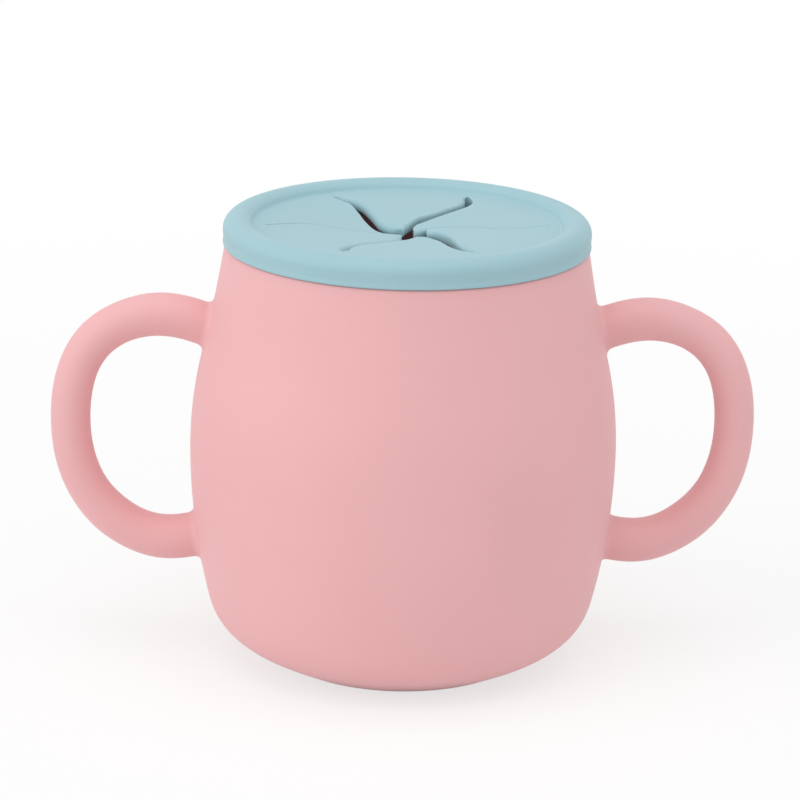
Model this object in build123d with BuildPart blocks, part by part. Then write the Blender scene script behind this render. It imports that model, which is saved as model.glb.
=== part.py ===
from build123d import *
from math import asin, cos, degrees, radians, sin, tan
import os

# Toddler training cup: a moulded silicone cup with two ring handles, and a snack lid
# whose slit membrane opens in six flaps. Millimetres, +Z up, origin on the axis at the
# foot, +X through the handles.

# Outside of the cup, from the foot up
foot_radius = 24.5
foot_flank_angle = 28.5
foot_fullness = 7.5
foot_edge = 1.5
heel_radius = 37.5
heel_height = 11.7
heel_lean = 13.7
heel_fullness = 6.8
belly_radius = 41.05
belly_height = 41.1
waist_radius = 38.9
waist_height = 59.3
shoulder_radius = 34.5
shoulder_height = 81.4
shoulder_edge = 0.4

# Walls, floor, and the slim rim that carries the lid
wall = 2.6
floor_thickness = 3.2
floor_radius = 21.5
floor_fullness = 5.0
base_recess_radius = 19.0
base_recess_depth = 0.8
ledge_width = 2.2
rim_wall = 2.0
throat_share = 0.67
throat_fullness = 2.6

# Handles: centre line, as distances out from the belly and up from its height, and the
# round section along it
handle_root_depth = 3.9
handle_top_root_rise = 22.9
handle_crest_reach = 6.45
handle_crest_rise = 25.8
handle_corner_reach = 18.25
handle_corner_rise = 20.7
handle_reach = 23.05
handle_reach_rise = 5.5
handle_heel_reach = 18.35
handle_heel_drop = 11.1
handle_sole_reach = 5.95
handle_sole_drop = 18.7
handle_low_root_drop = 17.3
handle_top_section = 4.2
handle_side_section = 3.95
handle_heel_section = 4.7
handle_sole_section = 4.5
handle_blend = 2.0
handle_stations = 17

# Lid: a thick round-topped ring that straddles the rim, and the membrane inside it
fit_clearance = 0.1
ring_height = 5.34
ring_width = 5.0
ring_overhang = 0.4
ring_roof = 2.6
ring_foot_edge = 0.7
membrane_drop = 1.75
membrane_thickness = 2.1
membrane_blend = 0.5
plug_wall = 1.9
plug_depth = 2.9

# Slits: the land left outside their ends, and how far each strays to its right at three
# shares of its length
flap_count = 6
slit_turn = 2.0
slit_land = 1.2
slit_core_share = 0.295
slit_core_stray = 0.1
slit_bow_share = 0.625
slit_bow_stray = 2.9
slit_hook_share = 0.875
slit_hook_stray = 1.7
slit_gap = 0.5

# Hinge line at the root of each flap, and how far a flap turns
flap_corner = 0.6
hinge_gap = 0.12
hinge_square_end = 0.8
hinge_sharp_end = 2.4
flap_rise = 35.0
flap_drop = 55.0

# Heights, radii and angles that follow from the sizes above
ledge_z = shoulder_height
rim_radius = shoulder_radius - ledge_width
rim_bore = rim_radius - rim_wall
rim_round = 0.45 * rim_wall
lid_foot_z = ledge_z + fit_clearance
lid_top_z = ledge_z + ring_height
channel_z = lid_top_z - ring_roof
rim_top_z = channel_z - fit_clearance
ring_round = ring_width / 2
ring_radius = shoulder_radius + ring_overhang
ring_middle = ring_radius - ring_round
crown_z = lid_top_z - ring_round
half_membrane = membrane_thickness / 2
membrane_top_z = lid_top_z - membrane_drop
membrane_z = membrane_top_z - half_membrane
membrane_foot_z = membrane_top_z - membrane_thickness
plug_radius = rim_bore - fit_clearance
plug_bore = plug_radius - plug_wall
plug_round = 0.42 * plug_wall
plug_foot_z = membrane_foot_z - plug_depth
slit_length = plug_bore - slit_land
half_flap = 180 / flap_count
hinge_reach = slit_length * cos(radians(half_flap))
hinge_length = 2 * slit_length * sin(radians(half_flap))
seat_radius = half_membrane + hinge_gap


def polar(radius, angle):
    """A point in the plan view, from its distance to the axis and its angle in degrees."""
    return Vector(radius * cos(radians(angle)), radius * sin(radians(angle)))


def cup_side(inset):
    """The cup's side from the heel up to the waist, moved inwards by inset."""
    belly = (belly_radius - inset, belly_height)
    low = TangentArc(belly, (heel_radius - inset, heel_height), tangent=(0, -1))
    high = TangentArc(belly, (waist_radius - inset, waist_height), tangent=(0, 1))
    return low @ 1, high @ 1, high % 1


def handle_section(along):
    """Radius of a handle's round section; along runs from 0 at the top root to 1."""
    radii = [
        handle_top_section,
        handle_top_section,
        handle_side_section,
        handle_heel_section,
        handle_sole_section,
    ]
    step = along * (len(radii) - 1)
    index = min(int(step), len(radii) - 2)
    share = step - index
    eased = share * share * (3 - 2 * share)
    return radii[index] + (radii[index + 1] - radii[index]) * eased


def hinge_plane(index):
    """Plane across the hinge line of flap index: X points outwards and Y points up."""
    angle = slit_turn + half_flap * (2 * index + 1)
    outwards = polar(1, angle)
    origin = outwards * hinge_reach + Vector(0, 0, membrane_z)
    return Plane(origin=origin, x_dir=outwards, z_dir=outwards.cross(Vector(0, 0, 1)))


def slit_edge(index, side):
    """One edge of slit index, from the centre out; side is 1 to its left and -1 to its right."""
    half_gap = slit_gap / 2
    tip_reach = half_gap / tan(radians(half_flap))
    root_reach = slit_length - half_gap * tan(radians(half_flap))
    strays = [
        (tip_reach, 0),
        (slit_length * slit_core_share, slit_core_stray),
        (slit_length * slit_bow_share, slit_bow_stray),
        (slit_length * slit_hook_share, slit_hook_stray),
        (root_reach, 0),
    ]
    turn = slit_turn + 2 * half_flap * index
    return [Vector(reach, side * half_gap - stray).rotate(Axis.Z, turn) for reach, stray in strays]


# One ring handle, lofted through round sections along its centre line
with BuildPart() as handle:
    with BuildLine(Plane.XZ) as spine:
        Spline(
            (waist_radius - handle_root_depth, belly_height + handle_top_root_rise),
            (belly_radius + handle_crest_reach, belly_height + handle_crest_rise),
            (belly_radius + handle_corner_reach, belly_height + handle_corner_rise),
            (belly_radius + handle_reach, belly_height + handle_reach_rise),
            (belly_radius + handle_heel_reach, belly_height - handle_heel_drop),
            (belly_radius + handle_sole_reach, belly_height - handle_sole_drop),
            (heel_radius - handle_root_depth, belly_height - handle_low_root_drop),
        )
    for station in range(handle_stations):
        along = station / (handle_stations - 1)
        with BuildSketch(Plane(spine.edge() ^ along)):
            Circle(handle_section(along))
    loft()

# The cup: outer form with the handles blended into it, then the hollow and the base
with BuildPart() as cup_body:
    with BuildSketch(Plane.YZ) as outside:
        with BuildLine():
            heel, waist, waist_way = cup_side(0)
            foot = Vector(foot_radius, 0)
            ledge = Vector(rim_radius, ledge_z)
            shoulder = Vector(shoulder_radius, ledge_z)
            belly = (belly_radius, belly_height)
            TangentArc(belly, heel, tangent=(0, -1))
            TangentArc(belly, waist, tangent=(0, 1))
            TangentArc(waist, shoulder, tangent=waist_way)
            heel_pull = polar(heel_fullness, 270 - heel_lean)
            foot_pull = polar(foot_fullness, foot_flank_angle)
            Bezier(heel, heel + heel_pull, foot + foot_pull, foot)
            Polyline(foot, (0, 0), (0, rim_top_z), (rim_radius, rim_top_z), ledge, shoulder)
        make_face()
        fillet(outside.vertices().sort_by_distance(shoulder)[0], shoulder_edge)
        fillet(outside.vertices().sort_by_distance(foot)[0], foot_edge)
        fillet(outside.vertices().sort_by_distance((rim_radius, rim_top_z))[0], rim_round)
    revolve(axis=Axis.Z)
    add(handle.part)
    mirror(handle.part, about=Plane.YZ)
    roots = cup_body.edges().filter_by(GeomType.BSPLINE)
    fillet([root for root in roots if root.is_closed], handle_blend)
    with BuildSketch(Plane.YZ) as hollow:
        with BuildLine():
            heel, waist, waist_way = cup_side(wall)
            inner_belly = (belly_radius - wall, belly_height)
            shoulder = Vector(shoulder_radius - wall, ledge_z)
            mouth = Vector(rim_bore, ledge_z)
            floor_edge = Vector(floor_radius, floor_thickness)
            TangentArc(inner_belly, heel, tangent=(0, -1))
            TangentArc(inner_belly, waist, tangent=(0, 1))
            upper = TangentArc(waist, shoulder, tangent=waist_way, mode=Mode.PRIVATE)
            throat = upper @ throat_share
            throat_pull = (upper % throat_share) * throat_fullness
            add(upper.trim(0, throat_share))
            Bezier(throat, throat + throat_pull, mouth - Vector(0, throat_fullness), mouth)
            heel_pull = polar(floor_fullness, 270 - heel_lean)
            floor_pull = Vector(floor_fullness, 0)
            Bezier(heel, heel + heel_pull, floor_edge + floor_pull, floor_edge)
            Polyline(mouth, (rim_bore, rim_top_z), (0, rim_top_z), (0, floor_thickness), floor_edge)
        make_face()
    revolve(axis=Axis.Z, mode=Mode.SUBTRACT)
    rim_edges = cup_body.edges().filter_by(GeomType.CIRCLE).group_by(Axis.Z)[-1]
    fillet(rim_edges.sort_by(SortBy.RADIUS)[0], rim_round)
    with BuildSketch():
        Circle(base_recess_radius)
    extrude(amount=base_recess_depth, mode=Mode.SUBTRACT)

# The lid's ring and the border of its membrane, with a seat along every hinge line
with BuildPart() as snack_lid:
    with BuildSketch(Plane.YZ) as section:
        crown_sweep = 180 - degrees(asin((membrane_top_z - crown_z) / ring_round))
        with BuildLine():
            crown = CenterArc((ring_middle, crown_z), ring_round, 0, crown_sweep)
            Polyline(
                crown @ 1,
                (0, membrane_top_z),
                (0, membrane_foot_z),
                (plug_bore, membrane_foot_z),
                (plug_bore, plug_foot_z),
                (plug_radius, plug_foot_z),
                (plug_radius, lid_foot_z),
                (ring_radius, lid_foot_z),
                crown @ 0,
            )
        make_face()
        with Locations((plug_radius, lid_foot_z)):
            Rectangle(
                rim_wall + 2 * fit_clearance,
                channel_z - lid_foot_z,
                align=(Align.MIN, Align.MIN),
                mode=Mode.SUBTRACT,
            )
        channel_corners = [(plug_radius, channel_z), (rim_radius + fit_clearance, channel_z)]
        for corner in channel_corners:
            fillet(section.vertices().sort_by_distance(corner)[0], rim_round - 2 * fit_clearance)
        for corner in [(plug_bore, plug_foot_z), (plug_radius, plug_foot_z)]:
            fillet(section.vertices().sort_by_distance(corner)[0], plug_round)
        fillet(section.vertices().sort_by_distance((ring_radius, lid_foot_z))[0], ring_foot_edge)
        fillet(section.vertices().sort_by_distance((plug_bore, membrane_foot_z))[0], membrane_blend)
        fillet(section.vertices().sort_by_distance(crown @ 1)[0], membrane_blend)
    revolve(axis=Axis.Z)
    with BuildSketch(Plane.XY.offset(membrane_foot_z)):
        RegularPolygon(slit_length, flap_count, rotation=slit_turn)
    extrude(amount=membrane_thickness, mode=Mode.SUBTRACT)
    for index in range(flap_count):
        with BuildSketch(hinge_plane(index)):
            Circle(seat_radius)
            for tilt, side in [(flap_rise, 1), (flap_drop, -1)]:
                touch = polar(seat_radius, side * (90 - tilt))
                apex = (0, side * seat_radius / cos(radians(tilt)))
                with BuildLine():
                    Polyline((0, 0), touch, apex, close=True)
                make_face()
        extrude(amount=hinge_length / 2, both=True, mode=Mode.SUBTRACT)

# The six flaps, each with a round root that turns in its seat
flaps = []
for index in range(flap_count):
    with BuildPart() as flap:
        with BuildSketch(Plane.XY.offset(membrane_foot_z)) as outline:
            with BuildLine():
                right_edge = slit_edge(index, 1)
                left_edge = slit_edge(index + 1, -1)
                Spline(*right_edge)
                Spline(*left_edge)
                Line(right_edge[-1], left_edge[-1])
            make_face()
            fillet(outline.vertices().sort_by_distance((0, 0))[-2:], flap_corner)
        extrude(amount=membrane_thickness)
        with BuildSketch(hinge_plane(index).offset(hinge_sharp_end - hinge_length / 2)):
            Circle(half_membrane)
        extrude(amount=hinge_length - hinge_sharp_end - hinge_square_end)
    flap.part.label = f"lid_flap_{index + 1}"
    flaps.append(flap.part)

cup_body.part.label = "cup_body"
snack_lid.part.label = "snack_lid"

os.makedirs("parts", exist_ok=True)
for piece in [cup_body.part, snack_lid.part, *flaps]:
    export_step(piece, f"parts/{piece.label}.step")
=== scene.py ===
import math
from collections import namedtuple

import bmesh
import bpy
import numpy as np
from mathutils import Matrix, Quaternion, Vector


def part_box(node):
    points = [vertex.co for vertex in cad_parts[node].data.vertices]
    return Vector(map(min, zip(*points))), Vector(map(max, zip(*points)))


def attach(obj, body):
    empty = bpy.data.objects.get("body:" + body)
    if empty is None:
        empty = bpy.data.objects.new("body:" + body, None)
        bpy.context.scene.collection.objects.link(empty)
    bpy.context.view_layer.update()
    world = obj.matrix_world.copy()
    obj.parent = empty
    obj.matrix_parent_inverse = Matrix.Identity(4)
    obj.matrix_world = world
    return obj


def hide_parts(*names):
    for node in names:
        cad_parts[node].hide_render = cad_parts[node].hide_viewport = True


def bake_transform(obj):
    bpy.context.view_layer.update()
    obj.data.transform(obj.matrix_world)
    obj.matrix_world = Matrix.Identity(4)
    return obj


# Looks of a toddler training cup: a soft silicone cup with two ring handles under a
# silicone snack lid, whose membrane is slit into six flaps. Sizes below are millimetres
# in the object's own frame unless a comment says otherwise: +Z up, origin under the foot,
# +X through the handles.
MM = 0.001

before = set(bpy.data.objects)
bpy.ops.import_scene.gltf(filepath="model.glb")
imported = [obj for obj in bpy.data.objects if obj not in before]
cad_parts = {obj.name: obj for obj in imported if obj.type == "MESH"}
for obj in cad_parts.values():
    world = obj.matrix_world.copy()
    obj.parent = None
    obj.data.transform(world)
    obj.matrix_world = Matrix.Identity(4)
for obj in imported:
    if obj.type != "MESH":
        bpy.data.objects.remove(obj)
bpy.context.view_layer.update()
cup_low, cup_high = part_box("cup_body")
lid_low, lid_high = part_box("snack_lid")

# Outside of the cup
foot_radius = 24.5
foot_flank_angle = 28.5
foot_fullness = 7.5
foot_edge = 1.5
heel_radius = 37.5
heel_height = 11.7
heel_lean = 13.7
heel_fullness = 6.8
belly_radius = cup_high.y / MM
belly_height = 41.1
waist_radius = 38.9
waist_height = 59.3
shoulder_radius = 34.5
shoulder_height = 81.4
shoulder_edge = 0.4

# Walls, floor and rim
wall = 2.6
floor_thickness = 3.2
floor_radius = 21.5
floor_fullness = 5.0
recess_radius = 19.0
recess_depth = 0.8
recess_edge = 0.3
ledge_width = 2.2
rim_wall = 2.0
rim_round = 0.9
rim_top = cup_high.z / MM
throat_share = 0.67
throat_fullness = 2.6

# Fineness of the cup: points along each curve of its section, shares of the radius where its
# flat faces are divided, and segments round the axis
foot_edge_points = 10
flank_points = 36
flank_heading = 4
foot_clear_share = 0.9
side_points = 40
upper_points = 30
inner_upper_points = 60
inner_upper_stride = 4
neck_points = 12
bowl_points = 16
base_shares = (0.3, 0.6, 0.9)
floor_shares = (0.7, 0.35)
cup_segments = 240

# Handles: centre line as distances from the cup's axis and up from the belly's height, and the
# radius of the round section along it
handle_root_reach = 3.9
handle_line = [
    (waist_radius - handle_root_reach, 22.8),
    (belly_radius + 5.5, 25.9),
    (belly_radius + 17.8, 21.0),
    (belly_radius + 22.95, 5.5),
    (belly_radius + 18.0, -11.35),
    (belly_radius + 6.2, -18.75),
    (heel_radius - handle_root_reach, -16.3),
]
handle_sections = [4.1, 4.15, 3.9, 3.8, 3.8, 3.85, 4.1, 4.3, 4.35]
handle_steps = 110
handle_sides = 56

# Roots of the handles: how far they spread over the cup's skin, the share by which their bend
# keeps from its corner, and how deep their edge and their closed end lie under the skin; the
# handles meet the cup somewhere between the foot and the top of the skin
handle_flare = 1.5
root_steps = 9
root_pull = 0.35
root_sink = 0.03
root_depth = 1.2
skin_foot_radius = (recess_radius + foot_radius) / 2
skin_top = shoulder_height - shoulder_edge

# Lid: ring with its lip and neck
ring_width = 5.0
ring_radius = lid_high.x / MM
lid_top = lid_high.z / MM
lid_clearance = 0.1
lid_foot = shoulder_height + lid_clearance
ring_round = ring_width / 2
ring_outer_reach = 2.8
ring_inner_reach = 3.15
ring_middle = ring_radius - ring_outer_reach
crown_height = lid_top - ring_round
ring_roof = 2.6
lip_edge = 0.3
lip_height = 0.4
lip_top = lid_foot + lip_height
neck_height = 1.05
neck_top = lid_foot + neck_height
neck_depth = 0.1

# Lid: channel over the rim, plug and membrane
channel_top = lid_top - ring_roof
channel_outer = 32.4
channel_round = 0.7
membrane_drop = 1.75
membrane_thickness = 2.1
membrane_blend = 0.7
membrane_under_blend = 0.4
membrane_top = lid_top - membrane_drop
membrane_foot = membrane_top - membrane_thickness
plug_radius = 30.2
plug_bore = 28.3
plug_foot = lid_low.z / MM
plug_round = 0.8

# Fineness of the ring: points along each curve of its section
crown_points = 34
crown_heading = 6
blend_points = 8
blend_clear_share = 1.05
neck_steps = 8
lip_steps = 6

# Flaps: between slit ends on a circle, with hinge lines straight across
flap_count = 6
slit_turn = 2.0
slit_length = 27.1
slit_gap = 0.08
sector = 360 / flap_count
hinge_reach = slit_length * math.cos(math.radians(sector / 2))
land_margin = 0.2
plate_radius = slit_length + land_margin

# Fineness of the flaps and of the strips of membrane outside them; a flap's rows crowd together
# at its tip and its root
flap_columns = 32
flap_rows = 96
row_crowding = 0.125
land_rows = 4
knot_steps = 24
edge_points = 600
shut_points = 40
edge_arc_steps = 6

# How far each flap's tip hangs below the membrane, from which radius it starts to hang,
# and how the drop grows towards the tip
flap_sag = {
    1: (1.35, 22, 1.5),
    2: (0.9, 22, 1.5),
    3: (1.95, 27, 1.0),
    4: (1.95, 27, 1.0),
    5: (2.2, 24, 1.5),
    6: (1.35, 22, 1.5),
}

# Edges of the slits, each in its slit's own frame: distance from the axis along the slit,
# and how far the edge strays to the right of it. Slit 0 runs to the right of the cup and
# the others follow at sixths of a turn; flap n lies between slit n - 1 and slit n. Where
# its list ends short of the slit's end, the rest of the slit is shut.
right_slit = [
    (5.7, -1.5), (9.4, -1.0), (13, 0.1), (16.6, 1.8), (20.2, 2.3), (22.7, 1.9), (25.3, 0.5), (27.0, 0.02),
]
left_slit = [
    (1.2, -0.2), (4, -0.1), (8, 0.3), (13, 1.7), (17, 3.2), (20.2, 3.2), (22.9, 2.2), (24.7, 1.4),
    (27.0, 0.02),
]
flap_left_edge = {
    1: [(1.75, 0.3), (3.0, -0.3), (4.7, -0.45), (7.0, 0.1), (10.5, 1.0), (14.6, 2.1), (18.7, 3.1),
        (21.5, 3.2), (23.0, 2.8), (24.2, 2.2), (25.6, 1.2), (26.3, 0.6), (26.7, 0.0)],
    2: [(1.0, -0.2), (1.65, -0.85), (2.4, -1.55), (3.6, -2.1), (6.8, -2.0), (12.4, -0.1), (18.1, 1.7),
        (21.7, 1.9), (24.0, 1.25), (25.8, 0.6), (26.6, 0.2)],
    3: left_slit,
    4: [(1.1, 0.55), (2.3, -0.1), (4.2, -1.0), (5.6, -1.2), (7.3, -0.9), (9.2, -0.15), (12.3, 1.4),
        (15, 2.4), (17.3, 2.85), (19.8, 2.9), (21.6, 2.8), (22.8, 2.2), (23.5, 1.5)],
    5: [(1.9, -0.9), (3.9, -1.7), (7.0, -1.3), (10.5, -0.55), (12.6, 0.2), (16.7, 1.5), (20.3, 1.95),
        (22.3, 1.4), (23.8, 0.5)],
    6: [(3.6, -0.9)] + right_slit,
}
flap_right_edge = {
    1: [(1.35, 0.9), (2.2, 0.1), (3.6, -0.9)] + right_slit,
    2: [(0.3, -0.9), (4.4, -1.3), (7.8, -1.4), (10.3, -0.6), (12.9, 0.15), (16.3, 0.9), (19.9, 1.6),
        (22.0, 1.55), (24.0, 0.9), (25.2, 0.3), (26.2, -0.1), (26.7, 0.0)],
    3: [(0.6, -1.25), (1.1, -2.1), (1.8, -3.6), (3.3, -4.0), (5.5, -3.95), (10.7, -2.5), (15.5, -0.75),
        (20.9, 0.95), (23.7, 0.75), (25.6, 0.45), (26.7, 0.1)],
    4: left_slit,
    5: [(0.4, -2.0), (1.8, -2.0), (4.6, -2.1), (6.4, -1.7), (11.7, -0.55), (16.2, 1.1), (19.1, 1.6),
        (20.8, 1.5), (22.6, 1.0), (23.3, 1.1), (23.5, 1.5)],
    6: [(2.8, -2.5), (4.7, -3.6), (9.7, -2.85), (17.0, 0.0), (21.2, 0.95), (22.7, 0.85), (23.8, 0.5)],
}

# How the top of each edge is rounded: its radius over most of the length and near the tip, the
# length over which it changes between them, and the length over which it fades out where the
# slit is shut
usual_stretch = 6.0
usual_fade = 1.2
shut_fade = 0.3
EdgeForm = namedtuple("EdgeForm", "radius tip_radius stretch fade", defaults=(usual_stretch, usual_fade))
left_slit_form = EdgeForm(0.42, 0.05, stretch=20.0, fade=shut_fade)
left_edge_form = {
    1: EdgeForm(0.25, 0.25),
    2: EdgeForm(1.3, 1.3),
    3: left_slit_form,
    4: EdgeForm(1.5, 1.2),
    5: EdgeForm(0.25, 0.25),
    6: EdgeForm(0.35, 0.35, fade=shut_fade),
}
right_edge_form = {
    1: EdgeForm(0.35, 0.9, fade=shut_fade),
    2: EdgeForm(0.8, 1.2),
    3: EdgeForm(0.3, 0.2),
    4: left_slit_form,
    5: EdgeForm(0.25, 0.25),
    6: EdgeForm(1.0, 1.0),
}

# The rounding takes at most this share of a flap's width, and is no larger than this underneath
edge_width_share = 0.42
edge_under_limit = 0.6

# Radius that rounds each flap's tip, and the share of its thickness that is left there
tip_round = {1: 0.3, 2: 1.2, 3: 0.15, 4: 0.15, 5: 0.3, 6: 0.4}
tip_share = 0.82
tip_taper = 6.0

# Colour of each silicone, and a faint painted emission that stands in for light coming through its walls
cup_colour = (0.81, 0.435, 0.445)
cup_painted_glow = (0.01, 0.008, 0.008)
lid_colour = (0.325, 0.53, 0.585)
lid_painted_glow = (0.01, 0.006, 0.006)
cloud_dark = 0.985
cloud_light = 1.01

# Meshes: distances in metres within which points are one point and edges are slivers, and the
# angle in degrees above which an edge stays sharp
axis_reach = 1e-9
weld_distance = 1e-7
sliver_length = 1e-8
sharp_angle = 42

# The photograph's camera
camera_place = (-22.17, -573.14, 226.33)
camera_target = (-0.76, 0.02, 50.33)
camera_lens = 140.27
camera_roll = 1.15

# Floor, in metres: half its width, and the distances between which it turns from shaded to white
floor_reach = 6.0
floor_shade = 0.93
shadow_reach = 0.06
white_reach = 0.4
near_white = 0.68
far_white = 1.0

# Lamps: place and size in metres, and power in watts
lamp_aim = (0, 0, 0.045)
lamps = {
    "key": ((-1.2, -0.5, 0.6), (1.0, 1.0), 5.0),
    "fill": ((1.1, -0.2, 0.5), (0.8, 0.8), 0.6),
    "top": ((0.0, -0.25, 1.15), (1.0, 1.0), 5.0),
}
ambient_strength = 0.63


def add_camera():
    data = bpy.data.cameras.new("camera")
    data.lens = camera_lens
    data.sensor_width = 36
    data.clip_start = 0.01
    data.clip_end = 20
    camera = bpy.data.objects.new("camera", data)
    bpy.context.scene.collection.objects.link(camera)
    place = Vector(camera_place) * MM
    target = Vector(camera_target) * MM
    camera.location = place
    camera.rotation_mode = "QUATERNION"
    roll = Quaternion((0, 0, 1), math.radians(camera_roll))
    camera.rotation_quaternion = (target - place).to_track_quat("-Z", "Y") @ roll
    bpy.context.scene.camera = camera


def make_piece(name, points, faces, material, merge=False):
    """A smooth-shaded mesh object from points in millimetres."""
    mesh = bpy.data.meshes.new(name)
    mesh.from_pydata([tuple(p) for p in np.asarray(points, float) * MM], [], faces)
    if merge:
        soup = bmesh.new()
        soup.from_mesh(mesh)
        bmesh.ops.remove_doubles(soup, verts=soup.verts, dist=weld_distance)
        bmesh.ops.dissolve_degenerate(soup, edges=soup.edges, dist=sliver_length)
        soup.to_mesh(mesh)
        soup.free()
    mesh.validate()
    mesh.polygons.foreach_set("use_smooth", [True] * len(mesh.polygons))
    mesh.set_sharp_from_angle(angle=math.radians(sharp_angle))
    mesh.materials.append(material)
    piece = bpy.data.objects.new(name, mesh)
    bpy.context.scene.collection.objects.link(piece)
    weighted = piece.modifiers.new("even_normals", "WEIGHTED_NORMAL")
    weighted.keep_sharp = True
    return piece


def smooth_step(x):
    x = min(1.0, max(0.0, x))
    return x * x * (3 - 2 * x)


def turned(vector, angle):
    """A flat vector turned by an angle in radians."""
    c, s = math.cos(angle), math.sin(angle)
    return np.array([vector[0] * c - vector[1] * s, vector[0] * s + vector[1] * c])


def rotated(vector, degrees_turned):
    return turned(vector, math.radians(degrees_turned))


def run_lengths(path):
    """How far along a path each of its points lies."""
    return np.concatenate([[0], np.cumsum(np.linalg.norm(np.diff(path, axis=0), axis=1))])


def tangent_arc(start, way, end, count):
    """Points on the circle arc that leaves start along way and ends at end, and its way there."""
    start, end = np.array(start, float), np.array(end, float)
    way = np.array(way, float) / np.linalg.norm(way)
    normal = np.array([-way[1], way[0]])
    chord = end - start
    radius = chord @ chord / (2 * (chord @ normal))
    centre = start + normal * radius
    sweep = 2 * math.atan2(chord @ normal, chord @ way)
    arm = start - centre
    arc = centre + np.array([turned(arm, a) for a in np.linspace(0, sweep, count)])
    return arc, turned(way, sweep)


def bezier(a, b, c, d, count):
    a, b, c, d = (np.array(p, float) for p in (a, b, c, d))
    t = np.linspace(0, 1, count)[:, None]
    return a * (1 - t) ** 3 + 3 * b * t * (1 - t) ** 2 + 3 * c * t**2 * (1 - t) + d * t**3


def rounded(corner, before, after, radius, count=6):
    """Points of a fillet at corner between the directions to before and after."""
    corner, before, after = (np.array(p, float) for p in (corner, before, after))
    u = (before - corner) / np.linalg.norm(before - corner)
    v = (after - corner) / np.linalg.norm(after - corner)
    half = math.acos(max(-1, min(1, u @ v))) / 2
    reach = radius / math.tan(half)
    centre = corner + (u + v) / np.linalg.norm(u + v) * radius / math.sin(half)
    a = corner + u * reach - centre
    b = corner + v * reach - centre
    sweep = math.atan2(a[0] * b[1] - a[1] * b[0], a @ b)
    return [centre + turned(a, s) for s in np.linspace(0, sweep, count)]


def natural_spline(knots, count):
    """Smooth curve through knots, spaced by chord length, with no bend at its ends."""
    knots = np.array(knots, float)
    steps = np.linalg.norm(np.diff(knots, axis=0), axis=1)
    t = run_lengths(knots)
    n = len(knots)
    system = np.zeros((n, n))
    right = np.zeros((n, knots.shape[1]))
    system[0, 0] = system[-1, -1] = 1
    for i in range(1, n - 1):
        system[i, i - 1:i + 2] = (steps[i - 1], 2 * (steps[i - 1] + steps[i]), steps[i])
        after = (knots[i + 1] - knots[i]) / steps[i]
        before = (knots[i] - knots[i - 1]) / steps[i - 1]
        right[i] = 6 * (after - before)
    bend = np.linalg.solve(system, right)
    out = []
    for s in np.linspace(0, t[-1], count):
        i = min(int(np.searchsorted(t, s, side="right")) - 1, n - 2)
        a, b, h = t[i + 1] - s, s - t[i], steps[i]
        out.append(
            bend[i] * a**3 / (6 * h) + bend[i + 1] * b**3 / (6 * h)
            + (knots[i] / h - bend[i] * h / 6) * a + (knots[i + 1] / h - bend[i + 1] * h / 6) * b
        )
    return np.array(out)


def through(knots, count):
    """Evenly spaced points on a smooth curve through knots."""
    p = np.array(knots, float)
    p = np.vstack([2 * p[0] - p[1], p, 2 * p[-1] - p[-2]])
    fine = []
    for i in range(1, len(p) - 2):
        t = np.linspace(0, 1, knot_steps, endpoint=False)[:, None]
        a, b, c, d = p[i - 1], p[i], p[i + 1], p[i + 2]
        fine.append(
            (2 * t**3 - 3 * t**2 + 1) * b + (t**3 - 2 * t**2 + t) * (c - a) / 2
            + (3 * t**2 - 2 * t**3) * c + (t**3 - t**2) * (d - b) / 2
        )
    fine = np.vstack(fine + [p[-2][None]])
    lengths = run_lengths(fine)
    s = np.linspace(0, lengths[-1], count)
    return np.column_stack([np.interp(s, lengths, fine[:, c]) for c in (0, 1)])


def spin(profile, segments, turn=0.0):
    """Points and faces of a profile turned about the axis; ends that lie on the axis become poles."""
    points, faces, rows = [], [], []
    angles = [math.radians(turn) + 2 * math.pi * k / segments for k in range(segments)]
    for r, z in profile:
        if r < axis_reach:
            rows.append([len(points)] * segments)
            points.append((0, 0, z))
        else:
            rows.append(list(range(len(points), len(points) + segments)))
            points += [(r * math.cos(a), r * math.sin(a), z) for a in angles]
    for low, high in zip(rows, rows[1:]):
        for k in range(segments):
            quad = [low[k], low[(k + 1) % segments], high[(k + 1) % segments], high[k]]
            faces.append(list(dict.fromkeys(quad)))
    return points, faces


def cup_side(inset):
    """The side from the heel up to the waist, moved inwards, and the way it leaves the waist."""
    belly = (belly_radius - inset, belly_height)
    low, _ = tangent_arc(belly, (0, -1), (heel_radius - inset, heel_height), side_points)
    high, way = tangent_arc(belly, (0, 1), (waist_radius - inset, waist_height), side_points // 2)
    return np.vstack([low[::-1], high[1:]]), way


def cup_outside():
    """Section of the recessed base, the flank and the side, up to the shoulder's corner."""
    foot = np.array([foot_radius, 0.0])
    heel = np.array([heel_radius, heel_height])
    flank = bezier(
        foot,
        foot + rotated((foot_fullness, 0), foot_flank_angle),
        heel + rotated((heel_fullness, 0), 270 - heel_lean),
        heel,
        flank_points,
    )
    base = [(0, recess_depth)]
    base += [(recess_radius * share, recess_depth) for share in base_shares]
    base += rounded((recess_radius, recess_depth), (0, recess_depth), (recess_radius, 0), recess_edge)
    base += rounded((recess_radius, 0), (recess_radius, recess_depth), foot, recess_edge)
    base += rounded(foot, (recess_radius, 0), flank[flank_heading], foot_edge, foot_edge_points)
    clear = [p for p in flank if np.linalg.norm(p - foot) > foot_edge * foot_clear_share]
    side, way = cup_side(0)
    upper, _ = tangent_arc(side[-1], way, (shoulder_radius, shoulder_height), upper_points)
    return base + clear + list(side[1:]) + list(upper[1:])


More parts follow.
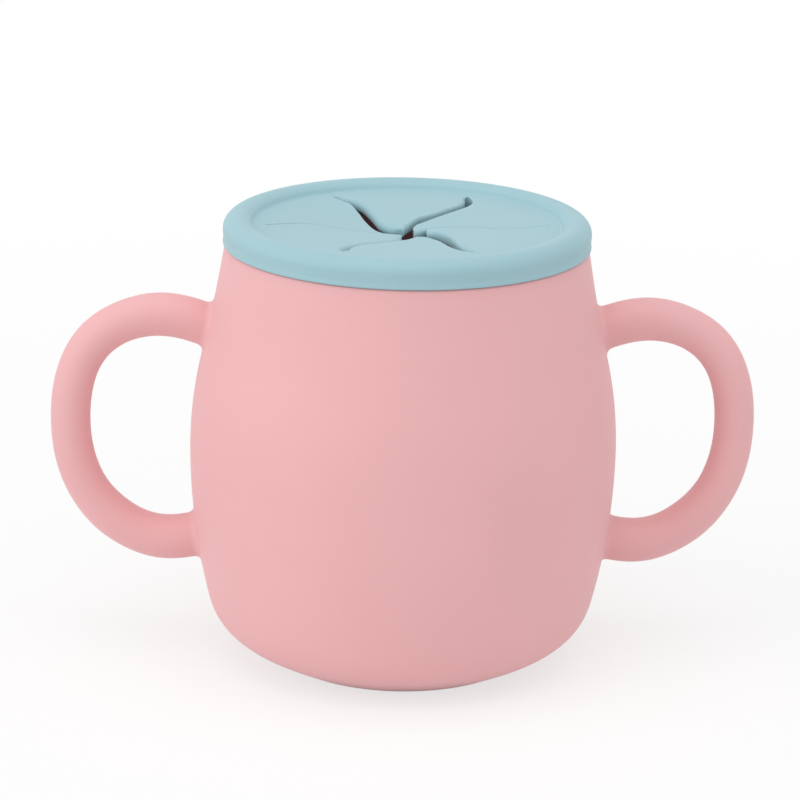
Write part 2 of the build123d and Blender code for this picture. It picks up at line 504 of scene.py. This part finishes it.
def cup_rim(below_shoulder):
    """Section of the shoulder's edge, the ledge and the slim rim."""
    ledge = (shoulder_radius - ledge_width, shoulder_height)
    rim_out = (shoulder_radius - ledge_width, rim_top)
    rim_in = (rim_out[0] - rim_wall, rim_top)
    rim = rounded((shoulder_radius, shoulder_height), below_shoulder, ledge, shoulder_edge)
    rim += [ledge]
    rim += rounded(rim_out, ledge, rim_in, rim_round)
    rim += rounded(rim_in, rim_out, (rim_in[0], shoulder_height), rim_round)
    return rim


def cup_inside():
    """Section of the inside, from the rim's bore down to the middle of the floor."""
    side, way = cup_side(wall)
    shoulder = (shoulder_radius - wall, shoulder_height)
    upper, _ = tangent_arc(side[-1], way, shoulder, inner_upper_points)
    keep = int(throat_share * (inner_upper_points - 1))
    throat = upper[keep]
    throat_way = upper[keep + 1] - throat
    throat_way = throat_way / np.linalg.norm(throat_way)
    mouth = np.array([shoulder_radius - ledge_width - rim_wall, shoulder_height])
    neck = bezier(
        throat,
        throat + throat_way * throat_fullness,
        mouth - np.array([0, throat_fullness]),
        mouth,
        neck_points,
    )
    floor_edge = np.array([floor_radius, floor_thickness])
    bowl = bezier(
        side[0],
        side[0] + rotated((floor_fullness, 0), 270 - heel_lean),
        floor_edge + np.array([floor_fullness, 0]),
        floor_edge,
        bowl_points,
    )
    inside = list(neck[::-1]) + list(upper[:keep:inner_upper_stride][::-1]) + list(side[::-1][1:])
    inside += list(bowl[1:])
    inside += [(floor_radius * share, floor_thickness) for share in floor_shares]
    return inside + [(0, floor_thickness)]


def cup_profile():
    """Half section of the cup, from the middle of the base round to the middle of the floor."""
    outside = cup_outside()
    return outside[:-1] + cup_rim(outside[-2]) + cup_inside()


def cup_skin():
    """Heights and radii of the cup's outside, where the handles meet it."""
    profile = np.array(cup_profile())
    first = int(np.argmax(profile[:, 0] > skin_foot_radius))
    last = int(np.argmax(profile[:, 1] > skin_top))
    outer = profile[first:last]
    order = np.argsort(outer[:, 1])
    return outer[order, 1], outer[order, 0]


def handle_radius(share):
    step = share * (len(handle_sections) - 1)
    index = min(int(step), len(handle_sections) - 2)
    here, after = handle_sections[index], handle_sections[index + 1]
    return here + (after - here) * smooth_step(step - index)


def handle_rings(line, ways):
    """Round sections of the right handle, square to its centre line."""
    rings = []
    for k in range(handle_steps):
        centre, way = line[k], ways[k]
        across = np.array([-way[1], way[0]])
        radius = handle_radius(k / (handle_steps - 1))
        ring = []
        for j in range(handle_sides):
            a = 2 * math.pi * j / handle_sides
            ring.append((
                centre[0] + across[0] * radius * math.cos(a),
                radius * math.sin(a),
                centre[1] + across[1] * radius * math.cos(a),
            ))
        rings.append(ring)
    return np.array(rings)


def root_bend(start, corner, end):
    """A soft bend from start to end that is drawn towards the corner between them."""
    return bezier(
        start,
        start * root_pull + corner * (1 - root_pull),
        corner * (1 - root_pull) + end * root_pull,
        end,
        root_steps,
    )


def handle_tracks():
    """Side lines of the right handle. Each stops a little before the cup's skin and runs into
    it on a soft bend."""
    heights, radii = cup_skin()
    line = natural_spline([(x, belly_height + z) for x, z in handle_line], handle_steps)
    ways = np.gradient(line, axis=0)
    ways /= np.linalg.norm(ways, axis=1)[:, None]
    rings = handle_rings(line, ways)

    def skin(z):
        return float(np.interp(z, heights, radii))

    def root_point(hit, k):
        """Where the bend from a side line's hit lands, spread out from the handle's centre."""
        way = np.array([ways[k][0], 0, ways[k][1]])
        out = hit - np.array([line[k][0], 0, line[k][1]])
        out = out - way * (out @ way)
        out /= np.linalg.norm(out)
        x, y, z = hit + out * handle_flare
        reach = skin(z) - root_sink
        return np.array([x * reach / math.hypot(x, y), y * reach / math.hypot(x, y), z])

    tracks = []
    for j in range(handle_sides):
        track = rings[:, j]
        gaps = np.array([math.hypot(x, y) - skin(z) for x, y, z in track])
        outside = np.where(gaps > 0)[0]
        first, last = outside[0], outside[-1]
        hits = []
        for here, inner in ((first, first - 1), (last, last + 1)):
            share = gaps[here] / (gaps[here] - gaps[inner])
            hits.append(track[here] + (track[inner] - track[here]) * share)
        path = np.vstack([hits[0], track[first:last + 1], hits[1]])
        lengths = run_lengths(path)
        stops = np.linspace(handle_flare, lengths[-1] - handle_flare, handle_steps)
        middle = np.column_stack([np.interp(stops, lengths, path[:, c]) for c in range(3)])
        opening = root_bend(root_point(hits[0], first), hits[0], middle[0])
        closing = root_bend(middle[-1], hits[1], root_point(hits[1], last))
        tracks.append(np.vstack([opening[:-1], middle, closing[1:]]))
    return np.array(tracks)


def add_handle(points, faces, tracks, side):
    """Adds a handle to the cup's points and faces: side is +1 for the right and -1 for the left."""
    base = len(points)
    count = tracks.shape[1]
    for track in tracks:
        points += [(side * p[0], p[1], p[2]) for p in track]
    for j in range(handle_sides):
        for k in range(count - 1):
            a = base + j * count + k
            b = base + ((j + 1) % handle_sides) * count + k
            quad = [a, b, b + 1, a + 1]
            faces.append(quad if side < 0 else quad[::-1])
    for k in (0, count - 1):
        cap = [base + j * count + k for j in range(handle_sides)]
        x, y, z = np.mean([points[i] for i in cap], axis=0)
        inward = 1 - root_depth / np.hypot(x, y)
        hub = len(points)
        points.append((x * inward, y * inward, z))
        for j in range(handle_sides):
            face = [cap[j], cap[(j + 1) % handle_sides], hub]
            faces.append(face if (k == 0) == (side > 0) else face[::-1])


def add_cup(material):
    points, faces = spin(cup_profile(), cup_segments)
    tracks = handle_tracks()
    for side in (1, -1):
        add_handle(points, faces, tracks, side)
    cup = make_piece("cup", points, faces, material)
    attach(cup, "cup")
    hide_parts("cup_body")


def ring_side():
    """Section of the ring's outer side: a shallow neck, and out again to the lip."""
    side = []
    for share in np.linspace(0, 1, neck_steps + 1)[1:]:
        height = crown_height + (neck_top - crown_height) * share
        side.append((ring_radius - neck_depth * smooth_step(share), height))
    for share in np.linspace(0, 1, lip_steps + 1)[1:]:
        height = neck_top + (lip_top - neck_top) * share
        side.append((ring_radius - neck_depth * (1 - smooth_step(share)), height))
    return side


def ring_profile():
    """Half section of the lid outside the flaps: over the ring, round its lip and back under it."""
    sweep_end = math.pi - math.asin((membrane_top - crown_height) / ring_round)
    crown = []
    for a in np.linspace(sweep_end, 0, crown_points):
        reach = ring_outer_reach if a < math.pi / 2 else ring_inner_reach
        crown.append((ring_middle + reach * math.cos(a), crown_height + ring_round * math.sin(a)))
    crease = np.array(crown[0])
    past_blend = membrane_blend * blend_clear_share
    profile = [(plate_radius, membrane_top)]
    profile += rounded(crease, (0, membrane_top), crown[crown_heading], membrane_blend, blend_points)
    profile += [p for p in crown if np.linalg.norm(np.array(p) - crease) > past_blend]
    profile += ring_side()
    profile += rounded((ring_radius, lid_foot), crown[-1], (channel_outer, lid_foot), lip_edge)
    profile += [(channel_outer, lid_foot)]
    channel_corners = [
        (channel_outer, lid_foot),
        (channel_outer, channel_top),
        (plug_radius, channel_top),
        (plug_radius, plug_foot),
    ]
    for before, corner, after in zip(channel_corners, channel_corners[1:], channel_corners[2:]):
        profile += rounded(corner, before, after, channel_round)
    profile += rounded((plug_radius, plug_foot), (plug_radius, lid_foot), (plug_bore, plug_foot), plug_round)
    profile += rounded((plug_bore, plug_foot), (plug_radius, plug_foot), (plug_bore, lid_foot), plug_round)
    under_corner = (plug_bore, membrane_foot)
    profile += rounded(under_corner, (plug_bore, plug_foot), (0, membrane_foot), membrane_under_blend)
    return profile + [(plate_radius, membrane_foot)]


def sag(flap, x, y):
    """How far the membrane of a flap hangs below its flat place."""
    tip, reach, power = flap_sag[flap]
    return tip * max(0.0, 1 - math.hypot(x, y) / reach) ** power


def column_angle(flap, column):
    """Angle of a column of a flap's sector, counted from the flap's right slit."""
    return sector * (flap - 1 + column / flap_columns)


def chord_point(flap, column):
    """A point of a flap's hinge line, at equal angles as seen from the axis."""
    angle = column_angle(flap, column)
    reach = hinge_reach / math.cos(math.radians(angle - sector * (flap - 0.5)))
    return rotated((reach, 0), angle + slit_turn)


def add_land(points, faces, flap):
    """Adds the strip of membrane between a flap's hinge line and the circle of the slit ends."""
    columns = flap_columns + 1
    layers = []
    for drop in (0, membrane_thickness):
        base = len(points)
        layers.append(base)
        for row in range(land_rows + 1):
            for column in range(columns):
                inner = chord_point(flap, column)
                outer = rotated((plate_radius, 0), column_angle(flap, column) + slit_turn)
                x, y = inner + (outer - inner) * row / land_rows
                points.append((x, y, membrane_top - sag(flap, x, y) - drop))
        for row in range(land_rows):
            for column in range(flap_columns):
                a = base + row * columns + column
                quad = [a, a + columns, a + columns + 1, a + 1]
                faces.append(quad[::-1] if drop else quad)
    over, under = layers
    for column in range(flap_columns):
        faces.append([over + column, over + column + 1, under + column + 1, under + column])


def add_ring(material):
    points, faces = spin(ring_profile(), flap_count * flap_columns, slit_turn)
    for flap in range(1, flap_count + 1):
        add_land(points, faces, flap)
    ring = make_piece("lid_ring", points, faces, material, merge=True)
    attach(ring, "lid")
    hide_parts("snack_lid")


def row_share(row):
    """How far along a flap its row lies."""
    t = row / flap_rows
    return t - row_crowding * math.sin(2 * math.pi * t)


def slit_side(knots, slit, side, fade):
    """A flap's edge in plan, from its tip to its slit's end, and how far each point is from
    the tip and from the shut stretch; side is +1 for a left edge and -1 for a right one."""
    line = through(knots, edge_points)
    shut = np.linspace(line[-1], (slit_length, 0), shut_points)
    shut_length = np.linalg.norm(shut[-1] - shut[0])
    line = np.vstack([line, shut[1:]])
    lengths = run_lengths(line)
    open_length = lengths[-1] - shut_length
    way = np.gradient(line, axis=0)
    way /= np.linalg.norm(way, axis=1)[:, None]
    inset = slit_gap * np.clip((open_length - lengths) / fade, 0, 1)
    line = line + np.column_stack([-way[:, 1], way[:, 0]]) * (inset * side)[:, None]
    s = np.array([row_share(row) for row in range(flap_rows + 1)]) * lengths[-1]
    line = np.column_stack([np.interp(s, lengths, line[:, c]) for c in (0, 1)])
    plan = np.array([rotated((along, -stray), sector * slit + slit_turn) for along, stray in line])
    return plan, s, open_length - s


def edge_round(form, from_tip, to_shut, width):
    """Radius at one point of an edge: it changes from the tip's to the edge's, and fades out."""
    size = form.tip_radius + (form.radius - form.tip_radius) * smooth_step(from_tip / form.stretch)
    return min(size, edge_width_share * width) * smooth_step(to_shut / form.fade)


def flap_section(flap, start, end, first, last, from_tip, shares):
    """Closed loop of points round a flap, from its right edge at start over the top to its left
    edge at end and back under it; first and last are the radii that round those edges."""
    width = np.linalg.norm(end - start)
    across = (end - start) / width
    under_first = min(edge_under_limit, first)
    under_last = min(edge_under_limit, last)
    tip = tip_round[flap]
    dome = tip * (1 - math.sqrt(1 - max(0.0, 1 - from_tip / tip) ** 2))
    thick = membrane_thickness * (tip_share + (1 - tip_share) * smooth_step(from_tip / tip_taper))
    quarter = [math.pi / 2 * step / edge_arc_steps for step in range(edge_arc_steps + 1)]
    loop = []

    def put(offset, depth):
        x, y = start + across * offset
        lowered = dome * max(0.0, 1 - 2 * depth / thick)
        loop.append((x, y, membrane_top - sag(flap, x, y) - depth - lowered))

    for turn in quarter[:-1]:
        put(first * (1 - math.sin(turn)), first * (1 - math.cos(turn)))
    loop.reverse()
    for share in shares:
        put(first + share * (width - first - last), 0)
    for turn in quarter[1:]:
        put(width - last * (1 - math.sin(turn)), last * (1 - math.cos(turn)))
    put(width, (last + thick - under_last) / 2)
    for turn in quarter[:-1]:
        put(width - under_last * (1 - math.cos(turn)), thick - under_last * (1 - math.sin(turn)))
    for share in shares[::-1]:
        put(under_first + share * (width - under_first - under_last), thick)
    for turn in quarter[1:]:
        put(under_first * (1 - math.sin(turn)), thick - under_first * (1 - math.cos(turn)))
    put(0, (first + thick - under_first) / 2)
    return loop


def add_flap(flap, material):
    left_form, right_form = left_edge_form[flap], right_edge_form[flap]
    left, left_from_tip, left_to_shut = slit_side(flap_left_edge[flap], flap, 1, left_form.fade)
    right, right_from_tip, right_to_shut = slit_side(flap_right_edge[flap], flap - 1, -1, right_form.fade)
    chord = np.array([chord_point(flap, column) for column in range(flap_columns + 1)])
    shares = np.linalg.norm(chord - chord[0], axis=1) / np.linalg.norm(chord[-1] - chord[0])
    loops = []
    for row in range(flap_rows + 1):
        width = np.linalg.norm(left[row] - right[row])
        first = edge_round(right_form, right_from_tip[row], right_to_shut[row], width)
        last = edge_round(left_form, left_from_tip[row], left_to_shut[row], width)
        from_tip = min(right_from_tip[row], left_from_tip[row])
        loops.append(flap_section(flap, right[row], left[row], first, last, from_tip, shares))
    points = [point for loop in loops for point in loop]
    around = len(loops[0])
    faces = []
    for row in range(flap_rows):
        for k in range(around):
            p = row * around + k
            q = row * around + (k + 1) % around
            faces.append([p, p + around, q + around, q])
    faces.append(list(range(around)))
    faces.append([flap_rows * around + k for k in range(around)][::-1])
    piece = make_piece(f"flap_{flap}", points, faces, material, merge=True)
    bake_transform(piece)
    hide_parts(f"lid_flap_{flap}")


def silicone(name, colour, painted_glow):
    """Matt moulded silicone: soft colour, a fine dull skin, a dusty sheen, and a faint painted emission
    that stands in for the light that comes through its walls."""
    material = bpy.data.materials.new(name)
    material.use_nodes = True
    nodes, links = material.node_tree.nodes, material.node_tree.links
    shader = nodes["Principled BSDF"]
    shader.inputs["Roughness"].default_value = 0.55
    shader.inputs["IOR"].default_value = 1.41
    shader.inputs["Sheen Weight"].default_value = 0.1
    shader.inputs["Sheen Roughness"].default_value = 0.5
    # Painted light: a faint emission on the surface that stands in for light coming through the silicone
    # walls
    shader.inputs["Emission Color"].default_value = (*painted_glow, 1)
    shader.inputs["Emission Strength"].default_value = 1.0
    place = nodes.new("ShaderNodeTexCoord")
    cloud = nodes.new("ShaderNodeTexNoise")
    cloud.inputs["Scale"].default_value = 45
    cloud.inputs["Detail"].default_value = 3
    links.new(place.outputs["Object"], cloud.inputs["Vector"])
    ramp = nodes.new("ShaderNodeValToRGB")
    ramp.color_ramp.elements[0].position = 0.3
    ramp.color_ramp.elements[1].position = 0.7
    ramp.color_ramp.elements[0].color = (*[c * cloud_dark for c in colour], 1)
    ramp.color_ramp.elements[1].color = (*[c * cloud_light for c in colour], 1)
    links.new(cloud.outputs["Fac"], ramp.inputs["Fac"])
    links.new(ramp.outputs["Color"], shader.inputs["Base Color"])
    grain = nodes.new("ShaderNodeTexNoise")
    grain.inputs["Scale"].default_value = 2600
    grain.inputs["Detail"].default_value = 2
    links.new(place.outputs["Object"], grain.inputs["Vector"])
    bump = nodes.new("ShaderNodeBump")
    bump.inputs["Strength"].default_value = 0.12
    bump.inputs["Distance"].default_value = 0.00004
    links.new(grain.outputs["Fac"], bump.inputs["Height"])
    links.new(bump.outputs["Normal"], shader.inputs["Normal"])
    return material


def seen_share(nodes, links):
    """A value of 1 for rays that show the surroundings: straight, mirrored or through glass."""
    path = nodes.new("ShaderNodeLightPath")
    some = nodes.new("ShaderNodeMath")
    links.new(path.outputs["Is Camera Ray"], some.inputs[0])
    links.new(path.outputs["Is Glossy Ray"], some.inputs[1])
    every = nodes.new("ShaderNodeMath")
    every.use_clamp = True
    links.new(some.outputs["Value"], every.inputs[0])
    links.new(path.outputs["Is Transmission Ray"], every.inputs[1])
    return every.outputs["Value"]


def floor_material():
    """A pale floor that keeps the cup's shadow near it and turns white further out."""
    material = bpy.data.materials.new("floor")
    material.use_nodes = True
    nodes, links = material.node_tree.nodes, material.node_tree.links
    shader = nodes["Principled BSDF"]
    shader.inputs["Base Color"].default_value = (floor_shade, floor_shade, floor_shade, 1)
    shader.inputs["Roughness"].default_value = 0.9
    shader.inputs["Specular IOR Level"].default_value = 0.0
    white = nodes.new("ShaderNodeEmission")
    white.inputs["Color"].default_value = (1, 1, 1, 1)
    white.inputs["Strength"].default_value = 1.0
    place = nodes.new("ShaderNodeTexCoord")
    distance = nodes.new("ShaderNodeVectorMath")
    distance.operation = "LENGTH"
    links.new(place.outputs["Object"], distance.inputs[0])
    fade = nodes.new("ShaderNodeMapRange")
    fade.interpolation_type = "SMOOTHSTEP"
    fade.inputs["From Min"].default_value = shadow_reach
    fade.inputs["From Max"].default_value = white_reach
    fade.inputs["To Min"].default_value = near_white
    fade.inputs["To Max"].default_value = far_white
    links.new(distance.outputs["Value"], fade.inputs["Value"])
    share = nodes.new("ShaderNodeMath")
    share.operation = "MULTIPLY"
    links.new(fade.outputs["Result"], share.inputs[0])
    links.new(seen_share(nodes, links), share.inputs[1])
    mix = nodes.new("ShaderNodeMixShader")
    links.new(share.outputs["Value"], mix.inputs["Fac"])
    links.new(shader.outputs["BSDF"], mix.inputs[1])
    links.new(white.outputs["Emission"], mix.inputs[2])
    links.new(mix.outputs["Shader"], nodes["Material Output"].inputs["Surface"])
    return material


def add_stage():
    mesh = bpy.data.meshes.new("floor")
    corners = [
        (-floor_reach, -floor_reach, 0),
        (floor_reach, -floor_reach, 0),
        (floor_reach, floor_reach, 0),
        (-floor_reach, floor_reach, 0),
    ]
    mesh.from_pydata(corners, [], [(0, 1, 2, 3)])
    mesh.materials.append(floor_material())
    floor = bpy.data.objects.new("floor", mesh)
    bpy.context.scene.collection.objects.link(floor)


def add_lamp(name, place, size, power):
    data = bpy.data.lights.new(name, "AREA")
    data.shape = "RECTANGLE"
    data.size, data.size_y = size
    data.energy = power
    lamp = bpy.data.objects.new(name, data)
    bpy.context.scene.collection.objects.link(lamp)
    lamp.location = place
    lamp.rotation_mode = "QUATERNION"
    lamp.rotation_quaternion = (Vector(lamp_aim) - Vector(place)).to_track_quat("-Z", "Y")


def add_light():
    """A soft white surrounding that shows as plain white itself, and the lamps."""
    world = bpy.data.worlds.new("studio")
    bpy.context.scene.world = world
    world.use_nodes = True
    nodes, links = world.node_tree.nodes, world.node_tree.links
    ambient = nodes["Background"]
    ambient.inputs["Color"].default_value = (1, 1, 1, 1)
    ambient.inputs["Strength"].default_value = ambient_strength
    seen = nodes.new("ShaderNodeBackground")
    seen.inputs["Color"].default_value = (1, 1, 1, 1)
    seen.inputs["Strength"].default_value = 1.0
    mix = nodes.new("ShaderNodeMixShader")
    links.new(seen_share(nodes, links), mix.inputs["Fac"])
    links.new(ambient.outputs["Background"], mix.inputs[1])
    links.new(seen.outputs["Background"], mix.inputs[2])
    links.new(mix.outputs["Shader"], nodes["World Output"].inputs["Surface"])
    for name, (place, size, power) in lamps.items():
        add_lamp(name, place, size, power)


add_camera()
add_stage()
add_light()
cup_silicone = silicone("cup_silicone", cup_colour, cup_painted_glow)
lid_silicone = silicone("lid_silicone", lid_colour, lid_painted_glow)
add_cup(cup_silicone)
add_ring(lid_silicone)
for flap in range(1, flap_count + 1):
    add_flap(flap, lid_silicone)

bpy.context.scene.view_settings.view_transform = "Standard"
